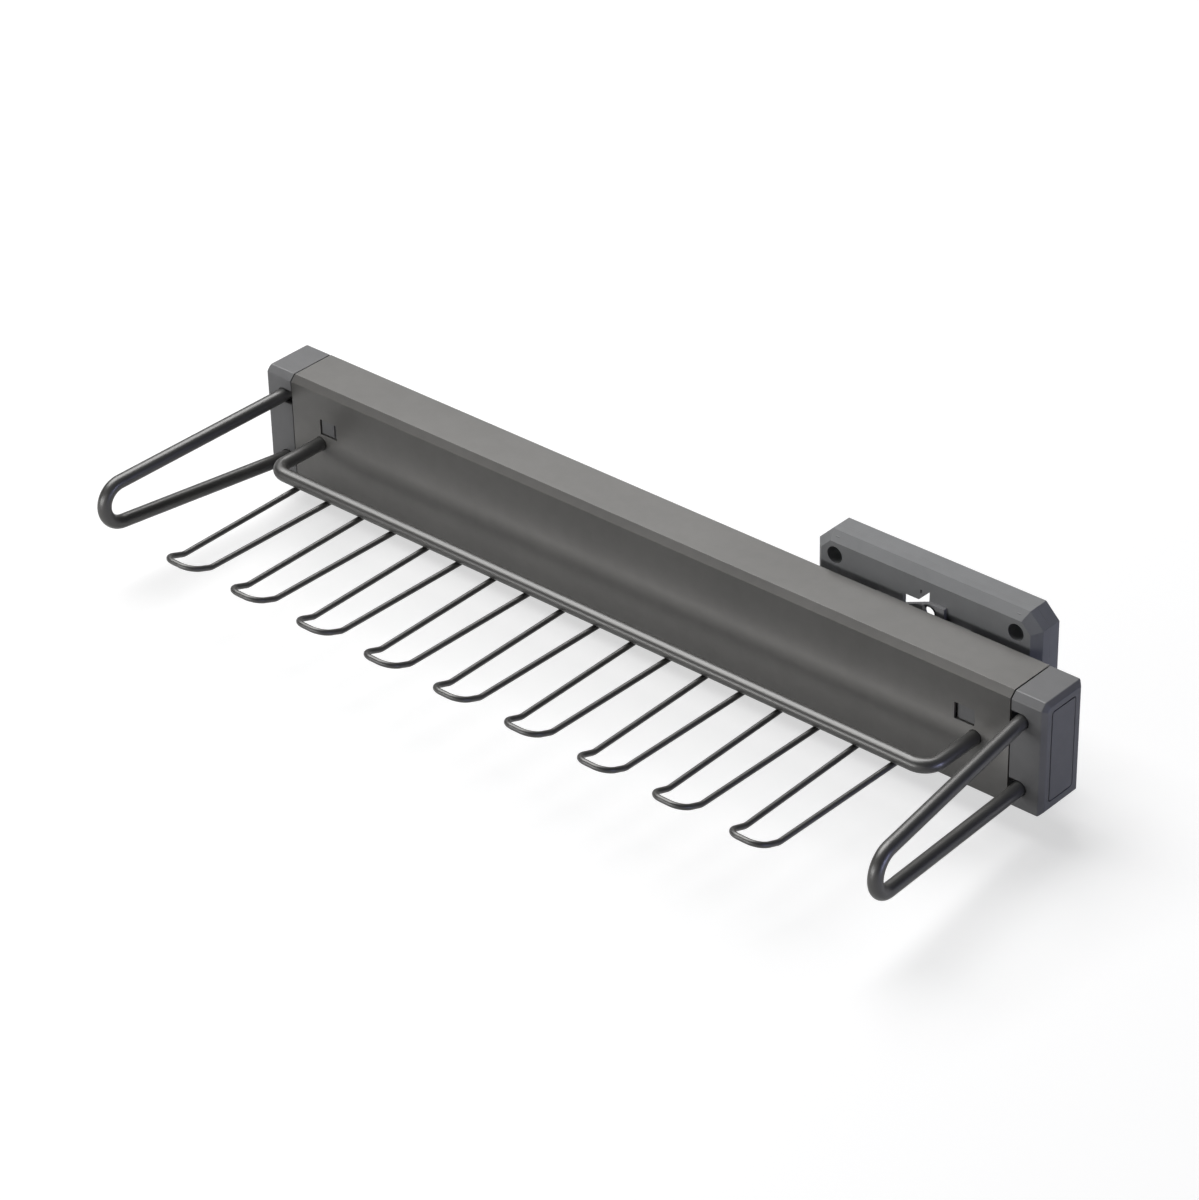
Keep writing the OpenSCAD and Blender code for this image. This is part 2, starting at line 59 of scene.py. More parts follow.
# Housing, with a window for each latch tab
SHEET = 1.5
LIP = 3.0
FRONT_BEVEL = 2.9
SEAM = 0.5
HOUSING_EDGE = 0.22
WINDOW_X = (35.3, 45.8)
WINDOW_Z = (3.0, 11.0)
THROUGH_FRONT = (-2.0, 4.0)

# End cap: shell with its leg slots, whose ends are rounded by a share of half their width
CAP_WIDTH = 17.1
CAP_WALL = 1.8
CAP_END = 3.0
CAP_BEVEL = 2.0
CAP_EDGE = 0.35
SLOT_BACK = 2.6
SLOT_ROUND = 0.98

# End cap: tongue and bar socket
TONGUE_DEPTH = 4.0
TONGUE_MARGIN = 0.5
TONGUE_X = (1.6, WINDOW_X[1] - TONGUE_MARGIN)
TONGUE_Y = (SHEET + FIT, SHEET + FIT + TONGUE_DEPTH)
TONGUE_Z = (-12.5, WINDOW_Z[1] + TONGUE_MARGIN)
TONGUE_EDGE = 0.3
SOCKET_RADIUS = 6.5
SOCKET_DEPTH = 13.0
SOCKET_FLOOR = 2.6
SOCKET_Y = (TONGUE_Y[0] + 2 * SHY, TONGUE_Y[0] + SOCKET_DEPTH)
LEG_END = SOCKET_Y[1] - SOCKET_FLOOR
BAR_SCREW_RADIUS = 2.2

# End cap: latch tab, with a rim and a step in its face, and end panel
TAB_GAP = 0.4
TAB_WIDTH = 7.9
TAB_X = (WINDOW_X[0] + TAB_GAP, WINDOW_X[0] + TAB_GAP + TAB_WIDTH)
TAB_Y = (0.75, 3.6)
TAB_Z = (WINDOW_Z[0] + TAB_GAP, WINDOW_Z[1] - TAB_GAP)
TAB_RIM = 0.5
TAB_STEP = 0.12
TAB_EDGE = 0.18
PANEL_X = (0.0, 1.4)
PANEL_Y = (5.4, 21.0)
PANEL_Z = (-21.8, 22.2)
PANEL_CORNER = 1.2
PANEL_GAP = 0.4
PANEL_RIM = 0.35
PANEL_EDGE = 0.2

# Tie bar and side loops
ROD = 6.6
ROD_EDGE = 0.4
NOTCH = ROD / 2 + NOTCH_GAP
BAR_X = 35.0
BAR_Z = -2.0
BAR_REACH = 31.3
BAR_BEND = 8.0
SIDE_X = 11.8
SIDE_Z = -1.0
SIDE_HALF = 16.6
SIDE_REACH = 107.2
SIDE_NOSE = 10.3
SIDE_SPLAY = 4.75
SIDE_RISE = 0.43
HOOK_BEND = 5.0
HOOK_STRAIGHT = 3.0
HOOK_GAP = 0.15

# Tie loops
WIRE = 2.7
WELD_GAP = 0.05
ROW_MARGIN = 26.4
LOOP_COUNT = 9
LOOP_PITCH = (RACK_LENGTH - 2 * (BAR_X + ROW_MARGIN)) / (LOOP_COUNT - 1)
LOOP_SHIFT = 1.5
LOOP_TAIL = 2.0
LOOP_START = BAR_REACH - LOOP_TAIL
LOOP_ROOT = 20.0
LOOP_TIP = 17.45
LOOP_BEND_AT = 102.8
LOOP_BEND = 7.5
LOOP_LIFT = 19.7
LOOP_STRAIGHT = 5.2
LOOP_CORNER = 6.5

# Wall plate, in the shared frame
HOLE_X = 48.0
HOLE_Z = 32.0
PLATE_SIDE = 11.3
PLATE_END = 10.1
PLATE_HALF_X = HOLE_X + PLATE_SIDE
PLATE_HALF_Z = HOLE_Z + PLATE_END
PLATE_WALL = 2.2
PLATE_FLOOR = PLATE_WALL - PLATE_DEPTH
PLATE_CORNER = 7.1
PLATE_BEVEL = 3.85
PLATE_INNER_BEVEL = 2.6
PLATE_EDGE = 0.3
IN_FRONT = -PLATE_DEPTH - OVER
HOLE_RADIUS = 2.25
HEAD_RADIUS = 4.0
HEAD_FLOOR = -3.4
BOSS_WALL = 2.4
BOSS_ROOT = PLATE_FLOOR - 0.4
BRACKET_SCREW_X = 20.0
BRACKET_SCREW_Z = 18.0
SCREW_RADIUS = 2.1
SCREW_END = -8.0
POST_RADIUS = 3.8
POST_BACK = -7.7
RIB_HALF = 0.9
RIB_REACH_X = 57.4
RIB_REACH_Z = 40.4
RIB_FROM = 16.0
# Outline of the plate's upper window, in x and z
PLATE_WINDOW = [(-11.0, 21.5), (3.0, 27.3), (3.0, 33.5), (-2.6, 27.8), (-11.0, 27.8)]
SIGHT_X = 2.9
SIGHT_Z = 23.2
SIGHT_RADIUS = 2.95
NICK_X = (-1.9, -1.1)
NICK_Z = (31.2, 32.9)
NICK_BACK = -13.6

# Slide bracket, in the shared frame
BRACKET_HALF = 25.0
BRACKET_SHEET = 2.0
BRACKET_DEPTH = 13.2
BRACKET_FAR = -PLATE_DEPTH
BRACKET_NEAR = BRACKET_FAR - BRACKET_DEPTH
BRACKET_ARM = 14.0
BRACKET_INNER = BRACKET_ARM - BRACKET_SHEET
BRACKET_TOP = 23.5
BRACKET_EDGE = 0.25
LUG_FOOT = -10.05
LUG_X = (4.0, 12.2)
LUG_TOP = 29.4
LUG_HOLE_X = 4.5
LUG_HOLE_Z = 25.1
LUG_HOLE_RADIUS = 3.8
SLIDER_SCREW_X = 15.0
SLIDER_SCREW_Z = 8.08

# Finish: cells of noise per metre in the coats' large and middling patches, and how much the
# patches darken or lighten a coat
BROAD_SCALE = 18.0
CLOUD_SCALE = 160.0
MOTTLE = 0.1
# The depth that bump heights are shares of, the long wave of rolled sheet over its height, and
# the groove that the plate's mould leaves
RELIEF = 0.03
BOW_PITCH = 8.0
BOW_START = 2.75
PARTING_WIDTH = 0.22
PARTING_DEPTH = 0.09

# Camera, in the shared frame, and what the lamps are placed around
CAMERA_AT = (887.1, -1195.8, 963.9)
CAMERA_TARGET = (-155.473, -46.8, -18.668)
CAMERA_ROLL = -1.417
CAMERA_LENS = 124.18
CAMERA_FILM = 36.0
LAMP_CENTRE = (-138.0, -60.0, 0.0)

# Floor: its glow, the share of it by the object, the distances in metres over which that rises to
# all of it, the share that glossy rays see, and the greys of its paint when seen and unseen
FLOOR_Z = -PLATE_HALF_Z
FLOOR_GLOW = 1.38
FLOOR_NEAR_SHARE = 0.43
FLOOR_CLEARING = (0.6, 1.3)
FLOOR_GLOSSY_SHARE = 0.12
FLOOR_SEEN = 0.95
FLOOR_UNSEEN = 0.42

WHITE = (1.0, 1.0, 1.0)

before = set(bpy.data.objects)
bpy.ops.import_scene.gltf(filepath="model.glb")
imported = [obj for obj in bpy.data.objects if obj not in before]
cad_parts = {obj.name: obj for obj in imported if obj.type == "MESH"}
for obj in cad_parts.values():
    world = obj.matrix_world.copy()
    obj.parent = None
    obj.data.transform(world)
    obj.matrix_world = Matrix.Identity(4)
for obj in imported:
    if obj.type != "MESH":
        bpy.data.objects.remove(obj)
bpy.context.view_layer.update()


# Places
def rack(x, y, z):
    """A point of the rack's own frame, in metres in the shared frame."""
    return (Vector((x, y, z)) + RACK_ORIGIN) * MM


def part(x, y, z):
    """A point of the shared frame, in metres."""
    return Vector((x, y, z)) * MM


def corners(x, z):
    """The four places at these distances from the middle."""
    return [(a * x, b * z) for a in (-1, 1) for b in (-1, 1)]


WALL_SCREWS = corners(HOLE_X, HOLE_Z)
BRACKET_SCREWS = corners(BRACKET_SCREW_X, BRACKET_SCREW_Z)
SLIDER_SCREWS = corners(SLIDER_SCREW_X, SLIDER_SCREW_Z)


# Modelling helpers
def deselect():
    bpy.ops.object.select_all(action="DESELECT")


def active(obj):
    deselect()
    obj.select_set(True)
    bpy.context.view_layer.objects.active = obj


def named(name):
    """Names the primitive just added and gives it an unturned, unscaled origin."""
    bpy.ops.object.transform_apply(location=True, rotation=True, scale=True)
    obj = bpy.context.object
    obj.name = name
    obj.data.name = name
    return obj


def box(name, x, y, z, place=rack):
    """A box from its spans along x, y and z, ready to be shaped."""
    low, high = (place(*corner) for corner in zip(x, y, z))
    deselect()
    bpy.ops.mesh.primitive_cube_add(size=1, location=(low + high) / 2, scale=high - low)
    return named(name)


def drum(name, x, y, z, radius, sides=48, place=rack):
    """A round bar over a span of y, at one x and z."""
    start, end = (place(x, depth, z) for depth in y)
    along = end - start
    turn = along.to_track_quat("Z", "Y").to_euler()
    deselect()
    bpy.ops.mesh.primitive_cylinder_add(
        vertices=sides, radius=radius * MM, depth=along.length, location=(start + end) / 2, rotation=turn)
    return named(name)


def edit(obj):
    """Opens an object for editing, with nothing selected."""
    active(obj)
    bpy.ops.object.mode_set(mode="EDIT")
    bpy.ops.mesh.select_mode(type="FACE")
    bpy.ops.mesh.select_all(action="DESELECT")


def done():
    bpy.ops.object.mode_set(mode="OBJECT")


def pick_faces(obj, test):
    """Selects the faces whose middle and normal pass the test."""
    bpy.ops.mesh.select_mode(type="FACE")
    bpy.ops.mesh.select_all(action="DESELECT")
    mesh = bmesh.from_edit_mesh(obj.data)
    for face in mesh.faces:
        face.select_set(test(face.calc_center_median() / MM, face.normal))
    bmesh.update_edit_mesh(obj.data)


def pick_edges(obj, test):
    """Selects the edges whose two ends pass the test."""
    bpy.ops.mesh.select_mode(type="EDGE")
    bpy.ops.mesh.select_all(action="DESELECT")
    mesh = bmesh.from_edit_mesh(obj.data)
    for edge in mesh.edges:
        edge.select_set(test(edge.verts[0].co / MM, edge.verts[1].co / MM))
    bmesh.update_edit_mesh(obj.data)


def at(a, b, **places):
    """Whether both ends of an edge lie at the given coordinates of the shared frame."""
    return all(abs(getattr(end, axis) - place) < NEAR for end in (a, b) for axis, place in places.items())


def runs(a, b, axis):
    """Whether an edge runs along an axis."""
    return abs(getattr(a, axis) - getattr(b, axis)) > 1


def bevel(width, segments=1):
    bpy.ops.mesh.bevel(
        offset=width * MM, segments=segments, profile=0.5, affect="EDGES", clamp_overlap=True)


def inset(width, depth=0.0):
    bpy.ops.mesh.inset(thickness=width * MM, depth=depth * MM)


def extrude(x=0.0, y=0.0, z=0.0):
    """Draws out the selected faces."""
    bpy.ops.mesh.extrude_region_move(TRANSFORM_OT_translate={"value": part(x, y, z)})


def turn_outwards():
    """Turns every face of the open mesh outwards."""
    bpy.ops.mesh.select_all(action="SELECT")
    bpy.ops.mesh.normals_make_consistent(inside=False)


def modifier(obj, kind, **settings):
    """Adds one modifier and applies it."""
    active(obj)
    added = obj.modifiers.new(kind.title(), kind)
    for name, value in settings.items():
        setattr(added, name, value)
    bpy.ops.object.modifier_apply(modifier=added.name)


def carve(obj, *cutters, operation="DIFFERENCE"):
    """Cuts the cutters out of the object, or joins them to it, and deletes them."""
    for cutter in cutters:
        modifier(obj, "BOOLEAN", operation=operation, object=cutter, solver="EXACT")
        bpy.data.objects.remove(cutter, do_unlink=True)
    edit(obj)
    bpy.ops.mesh.select_all(action="SELECT")
    bpy.ops.mesh.remove_doubles(threshold=0.004 * MM)
    done()


def smooth(obj, angle=32):
    active(obj)
    bpy.ops.object.shade_smooth_by_angle(angle=math.radians(angle))


def soften(obj, width, segments=2, angle=30):
    """Rounds the sharp edges, as moulding, folding and paint do, and smooths the shading."""
    modifier(obj, "BEVEL", width=width * MM, segments=segments, limit_method="ANGLE",
             angle_limit=math.radians(angle), harden_normals=False, use_clamp_overlap=True)
    smooth(obj)


def flatten(obj):
    """Keeps the shading of broad faces flat up to their rounded edges."""
    modifier(obj, "WEIGHTED_NORMAL", mode="FACE_AREA", weight=50, keep_sharp=True)


def join(name, *pieces):
    """One object from several."""
    deselect()
    for piece in pieces:
        piece.select_set(True)
    bpy.context.view_layer.objects.active = pieces[0]
    bpy.ops.object.join()
    result = bpy.context.object
    result.name = name
    result.data.name = name
    return result


def twin(obj, name, x=0.0):
    """A copy with its own mesh, moved along x."""
    other = obj.copy()
    other.data = obj.data.copy()
    other.name = name
    other.data.name = name
    bpy.context.collection.objects.link(other)
    other.data.transform(Matrix.Translation(part(x, 0, 0)))
    return other


def mirrored(obj, name):
    """A copy with its own mesh, mirrored about the middle of the rack."""
    other = twin(obj, name)
    middle = rack(RACK_LENGTH / 2, 0, 0).x
    other.data.transform(Matrix.Translation((2 * middle, 0, 0)) @ Matrix.Diagonal((-1, 1, 1, 1)))
    other.data.flip_normals()
    return other


def bent_rod(name, diameter, start, heading, steps, sides=36):
    """A rod drawn from a circle: each step is a length, a turn, its radius and the axis it turns about."""
    heading = Vector(heading).normalized()
    place = Vector(start)
    deselect()
    bpy.ops.mesh.primitive_circle_add(
        vertices=sides, radius=diameter / 2 * MM, fill_type="NGON", location=place,
        rotation=heading.to_track_quat("Z", "Y").to_euler())
    obj = named(name)
    edit(obj)
    bpy.ops.mesh.select_all(action="SELECT")
    for length, turn, radius, axis in steps:
        move = heading * length * MM
        bpy.ops.mesh.extrude_region_move(TRANSFORM_OT_translate={"value": move})
        place = place + move
        if turn:
            axis = Vector(axis).normalized()
            centre = place + axis.cross(heading) * radius * MM
            rings = max(3, round(turn / BEND_STEP))
            bpy.ops.mesh.spin(steps=rings, angle=-math.radians(turn), center=centre, axis=axis)
            rotation = Matrix.Rotation(math.radians(turn), 3, axis)
            place = centre + rotation @ (place - centre)
            heading = rotation @ heading
    bpy.ops.mesh.select_all(action="SELECT")
    bpy.ops.mesh.remove_doubles(threshold=0.001 * MM)
    turn_outwards()
    done()
    return obj


def prism(name, outline, y):
    """A plane figure given in x and z, drawn out over a span of y in the shared frame."""
    near, far = y
    deselect()
    mesh = bpy.data.meshes.new(name)
    obj = bpy.data.objects.new(name, mesh)
    bpy.context.collection.objects.link(obj)
    mesh.from_pydata([part(x, near, z) for x, z in outline], [], [range(len(outline))])
    edit(obj)
    bpy.ops.mesh.select_all(action="SELECT")
    extrude(y=far - near)
    turn_outwards()
    done()
    return obj


# Materials
class Wire:
    """An output socket that can be reckoned with."""

    def __init__(self, graph, socket):
        self.graph = graph
        self.socket = socket

    def math(self, operation, *others):
        return self.graph.node("ShaderNodeMath", {"operation": operation}, dict(enumerate((self, *others))))

    def __add__(self, other):
        return self.math("ADD", other)

    def __sub__(self, other):
        return self.math("SUBTRACT", other)

    def __mul__(self, other):
        return self.math("MULTIPLY", other)

    def along(self, axis):
        """One coordinate of a place, in metres."""
        return self.graph.node("ShaderNodeSeparateXYZ", None, {"Vector": self}, axis)

    def ramp(self, low, high):
        """0 below low, 1 above high, smooth between."""
        inputs = {"Value": self, "From Min": low, "From Max": high}
        return self.graph.node("ShaderNodeMapRange", {"interpolation_type": "SMOOTHSTEP"}, inputs)


class Graph:
    """The nodes of one material or world."""

    def __init__(self, owner):
        self.owner = owner
        owner.use_nodes = True
        self.tree = owner.node_tree
        self.tree.nodes.clear()

    def node(self, kind, settings=None, inputs=None, output=0):
        made = self.tree.nodes.new(kind)
        for name, value in (settings or {}).items():
            setattr(made, name, value)
        for key, value in (inputs or {}).items():
            if isinstance(value, Wire):
                self.tree.links.new(value.socket, made.inputs[key])
            else:
                made.inputs[key].default_value = value
        return Wire(self, made.outputs[output]) if made.outputs else made

    def place(self, scale=(1, 1, 1)):
        """Object coordinates, stretched by a scale."""
        spot = self.node("ShaderNodeTexCoord", output="Object")
        return self.node("ShaderNodeVectorMath", {"operation": "MULTIPLY"}, {0: spot, 1: scale})

    def noise(self, where, scale, detail=2.0, roughness=0.5):
        """Noise with its scale in cells per metre."""
        inputs = {"Vector": where, "Scale": scale, "Detail": detail, "Roughness": roughness}
        return self.node("ShaderNodeTexNoise", {"noise_dimensions": "3D"}, inputs)

    def light_path(self, ray):
        return self.node("ShaderNodeLightPath", output=ray)

    def mix(self, factor, first, second):
        """A colour between two colours."""
        return self.node("ShaderNodeMix", {"data_type": "RGBA"}, {0: factor, 6: first, 7: second}, 2)

    def blend(self, factor, first, second):
        """A shader between two shaders."""
        return self.node("ShaderNodeMixShader", None, {0: factor, 1: first, 2: second})

    def bump(self, height, strength):
        inputs = {"Height": height, "Strength": strength, "Distance": RELIEF * MM}
        return self.node("ShaderNodeBump", None, inputs)

    def finish(self, **inputs):
        named_inputs = {name.replace("_", " "): value for name, value in inputs.items()}
        shader = self.node("ShaderNodeBsdfPrincipled", None, named_inputs)
        self.node("ShaderNodeOutputMaterial", None, {"Surface": shader})
        return self.owner


def opaque(colour, share=1.0):
    """A colour with its alpha, darkened or lightened by a share."""
    return (*[value * share for value in colour], 1.0)


def coated(name, colour, roughness, peel, grain=1400.0, metal=0.0, coat=0.0, bow=0.0, parting=None):
    """Powder coat or moulded plastic: fine relief, faint mottling and softly varying gloss. Peel and
    bow are the heights of the relief and of a long wave over the sheet, as shares of RELIEF and in
    millimetres. Parting is the depth at which the mould leaves a fine groove."""
    graph = Graph(bpy.data.materials.new(name))
    spot = graph.place()
    fine = graph.noise(spot, grain)
    broad = graph.noise(spot, BROAD_SCALE, detail=3.0)
    cloud = graph.noise(spot, CLOUD_SCALE)
    shade = broad.ramp(0.3, 0.7) * 0.6 + cloud.ramp(0.35, 0.65) * 0.25 + fine.ramp(0.3, 0.7) * 0.15
    tone = graph.mix(shade, opaque(colour, 1 - MOTTLE), opaque(colour, 1 + MOTTLE))
    gloss = (broad - 0.5) * 0.06 + (fine - 0.5) * 0.08 + roughness
    height = (fine * 0.7 + cloud * 0.3) * peel
    if bow:
        wave = (spot.along("Z") * (1 / (BOW_PITCH * MM)) - BOW_START).math("SINE")
        height = height + wave * (bow / RELIEF)
    if parting is not None:
        away = (spot.along("Y") - parting * MM).math("ABSOLUTE")
        height = height + away.ramp(0, PARTING_WIDTH * MM) * (PARTING_DEPTH / RELIEF)
    return graph.finish(
        Base_Color=tone, Metallic=metal, Roughness=gloss, Normal=graph.bump(height, 1.0),
        Coat_Weight=coat, Coat_Roughness=0.33, Specular_IOR_Level=1.0)


def zinc(name, colour):
    """Zinc plate on rolled steel: drawn streaks, spangled patches and fine scratches."""
    graph = Graph(bpy.data.materials.new(name))
    streak = graph.noise(graph.place((0.06, 1.0, 1.0)), 900.0, detail=3.0, roughness=0.6)
    patch = graph.noise(graph.place(), 60.0)
    shade = patch.ramp(0.35, 0.65) * 0.6 + streak.ramp(0.3, 0.7) * 0.4
    tone = graph.mix(shade, opaque(colour, 0.82), opaque(colour))
    gloss = (patch - 0.5) * 0.2 + (streak - 0.5) * 0.25 + 0.36
    return graph.finish(Base_Color=tone, Metallic=1.0, Roughness=gloss, Normal=graph.bump(streak, 0.1))


HOUSING = coated("housing_paint", (0.155, 0.150, 0.142), 0.5, 0.2, metal=0.5, coat=1.0, bow=2.6)
CAP = coated("cap_plastic", (0.148, 0.148, 0.152), 0.45, 0.3, grain=2200.0)
RODS = coated("rod_paint", (0.098, 0.096, 0.092), 0.42, 0.2, metal=0.5, coat=1.0)
PLATE = coated("plate_plastic", (0.205, 0.208, 0.213), 0.5, 0.5, grain=1800.0, parting=-6.6)
BRACKET = coated("bracket_paint", (0.34, 0.34, 0.35), 0.5, 0.3, grain=1600.0, metal=0.3)
STEEL = zinc("slide_steel", (0.70, 0.71, 0.73))
RUBBER = coated("rubber", (0.035, 0.035, 0.035), 0.7, 0.6, grain=900.0)


def dress(obj, material, body, slot, *nodes):
    """Gives a new piece its finish and body, and hides the CAD nodes it stands for."""
    obj.data.materials.clear()
    obj.data.materials.append(material)
    if material is not RODS:
        flatten(obj)
    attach(obj, body)
    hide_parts(*nodes)


# Housing
def make_housing():
    """A folded steel channel, open at the back, with a bevelled upper front edge."""
    ends = (CAP_WIDTH + SEAM, RACK_LENGTH - CAP_WIDTH - SEAM)
    obj = box("housing_shell", ends, (0, RACK_DEPTH), (-HALF_HEIGHT, HALF_HEIGHT))
    edit(obj)
    pick_edges(obj, lambda a, b: at(a, b, y=FRONT_Y, z=HALF_HEIGHT))
    bevel(FRONT_BEVEL)
    pick_faces(obj, lambda middle, normal: abs(normal.x) > FACING or normal.y > FACING)
    bpy.ops.mesh.delete(type="FACE")
    # lips folded in at the open back
    for side in (-1, 1):
        pick_edges(obj, lambda a, b: at(a, b, y=BACK_Y, z=side * HALF_HEIGHT))
        bpy.ops.mesh.extrude_edges_move(TRANSFORM_OT_translate={"value": part(0, 0, -side * LIP)})
    turn_outwards()
    done()
    modifier(obj, "SOLIDIFY", thickness=SHEET * MM, offset=-1.0, use_even_offset=True)
    far_window = [RACK_LENGTH - x for x in reversed(WINDOW_X)]
    cutters = []
    for window, leg in ((WINDOW_X, BAR_X), (far_window, RACK_LENGTH - BAR_X)):
        cutters.append(box("cut_window", window, THROUGH_FRONT, WINDOW_Z))
        cutters.append(drum("cut_leg", leg, THROUGH_FRONT, BAR_Z, NOTCH, sides=40))
    carve(obj, *cutters)
    soften(obj, HOUSING_EDGE, segments=3, angle=25)
    dress(obj, HOUSING, "rack", "housing_paint", "housing")


# End caps
def make_cap_shell():
    """The cap's moulded case, with bevelled end, panel recess and a notch for each leg of the side loop."""
    obj = box("cap_left", (0, CAP_WIDTH), (0, RACK_DEPTH), (-HALF_HEIGHT, HALF_HEIGHT))
    edit(obj)
    pick_edges(obj, lambda a, b: at(a, b, y=FRONT_Y, z=HALF_HEIGHT))
    bevel(FRONT_BEVEL)
    pick_edges(obj, lambda a, b: at(a, b, x=RACK_ORIGIN.x))
    bevel(CAP_BEVEL)
    pick_faces(obj, lambda middle, normal: abs(middle.x - RACK_ORIGIN.x - CAP_WIDTH) < NEAR)
    inset(CAP_WALL)
    extrude(x=CAP_END - CAP_WIDTH)
    done()
    y, z = [(span[0] - PANEL_GAP, span[1] + PANEL_GAP) for span in (PANEL_Y, PANEL_Z)]
    recess = box("cut_panel", (-OVER, PANEL_X[1]), y, z)
    edit(recess)
    pick_edges(recess, lambda a, b: runs(a, b, "x"))
    bevel(PANEL_CORNER + PANEL_GAP, segments=5)
    done()
    cutters = [recess]
    left = SIDE_X - NOTCH
    for side in (-1, 1):
        height = SIDE_Z + side * SIDE_HALF
        upright = (height - NOTCH, height + NOTCH)
        slot = box("cut_slot", (left, CAP_WIDTH + OVER), (-OVER, SLOT_BACK), upright)
        edit(slot)
        pick_edges(slot, lambda a, b: runs(a, b, "y") and at(a, b, x=left + RACK_ORIGIN.x))
        bevel(NOTCH * SLOT_ROUND, segments=8)
        done()
        cutters.append(slot)
    carve(obj, *cutters)
    soften(obj, CAP_EDGE, segments=3, angle=25)
    return obj


def make_tongue():
    """The cap's tongue behind the housing's front, with the socket that takes a leg of the tie bar."""
    tongue = box("tongue", TONGUE_X, TONGUE_Y, TONGUE_Z)
    carve(tongue, drum("socket", BAR_X, SOCKET_Y, BAR_Z, SOCKET_RADIUS), operation="UNION")
    bore = drum("cut_bore", BAR_X, (-OVER, LEG_END), BAR_Z, ROD / 2 + FIT)
    screw = drum("cut_screw", BAR_X, (-OVER, SOCKET_Y[1] + OVER), BAR_Z, BAR_SCREW_RADIUS, sides=32)
    carve(tongue, bore, screw)
    soften(tongue, TONGUE_EDGE)
    return tongue


def make_tab():
    """The latch tab that shows in the housing's window."""
    tab = box("tab", TAB_X, TAB_Y, TAB_Z)
    edit(tab)
    pick_faces(tab, lambda middle, normal: normal.y < -FACING)
    inset(TAB_RIM, TAB_STEP)
    done()
    soften(tab, TAB_EDGE)
    return tab


def make_caps():
    left = join("cap_left", make_cap_shell(), make_tongue(), make_tab())
    right = mirrored(left, "cap_right")
    dress(left, CAP, "rack", "cap_plastic", "end_cap_left")
    dress(right, CAP, "rack", "cap_plastic", "end_cap_right")


def make_panels():
    """The thin plate in each end cap, with rounded corners."""
    left = box("panel_left", PANEL_X, PANEL_Y, PANEL_Z)
    edit(left)
    pick_edges(left, lambda a, b: runs(a, b, "x"))
    bevel(PANEL_CORNER, segments=5)
    pick_faces(left, lambda middle, normal: normal.x < -FACING)
    inset(PANEL_RIM)
    done()
    soften(left, PANEL_EDGE, angle=25)
    right = mirrored(left, "panel_right")
    dress(left, CAP, "rack", "cap_plastic", "end_panel_left")
    dress(right, CAP, "rack", "cap_plastic", "end_panel_right")


# Rods
def make_bar():
    """The long bar: two legs, two bends and the run that carries the loops."""
    leg = LEG_END + BAR_REACH - BAR_BEND
    run = RACK_LENGTH - 2 * BAR_X - 2 * BAR_BEND
    up = (0, 0, 1)
    steps = [(leg, 90, BAR_BEND, up), (run, 90, BAR_BEND, up), (leg, 0, 0, up)]
    bar = bent_rod("bar", ROD, rack(BAR_X, LEG_END, BAR_Z), (0, -1, 0), steps)
    soften(bar, ROD_EDGE, angle=50)
    smooth(bar, 40)
    dress(bar, RODS, "rack", "rod_paint", "tie_bar")


def make_side_loops():
    """Long hairpins, spread outwards and slightly raised, with hooked ends in the caps."""
    nose_at = SIDE_REACH - SIDE_NOSE
    lean = math.acos(SIDE_NOSE / math.hypot(SIDE_HALF, nose_at)) - math.atan2(nose_at, SIDE_HALF)
    converge = math.degrees(lean)
    hook_at = TONGUE_Y[1] + ROD / 2 + HOOK_GAP
    hook_turn = 90 + converge
    tangent = HOOK_BEND * math.tan(math.radians(hook_turn / 2))
    corner = SIDE_HALF + hook_at * math.tan(lean)
    straight = hook_at / math.cos(lean) - tangent + nose_at * math.cos(lean) + SIDE_HALF * math.sin(lean)
    # flat pattern: +x away from the housing, +y up; then tilted, spread and set in its cap
    away = Matrix.Rotation(math.radians(-90 - SIDE_SPLAY), 4, "Z")
    tilt = Matrix.Rotation(math.radians(90), 4, "X") @ Matrix.Rotation(math.radians(SIDE_RISE), 4, "Z")
    place = Matrix.Translation(rack(SIDE_X, 0, SIDE_Z)) @ away @ tilt
    turning = place.to_3x3()
    start = place @ (Vector((-hook_at, tangent + HOOK_STRAIGHT - corner, 0)) * MM)
    axis = turning @ Vector((0, 0, 1))
    steps = [(HOOK_STRAIGHT, hook_turn, HOOK_BEND, axis), (straight, 180 - 2 * converge, SIDE_NOSE, axis),
             (straight, hook_turn, HOOK_BEND, axis), (HOOK_STRAIGHT, 0, 0, axis)]
    left = bent_rod("side_loop_l", ROD, start, turning @ Vector((0, -1, 0)), steps)
    smooth(left, 40)
    right = mirrored(left, "side_loop_r")
    dress(left, RODS, "rack", "rod_paint", "side_loop_left")
    dress(right, RODS, "rack", "rod_paint", "side_loop_right")


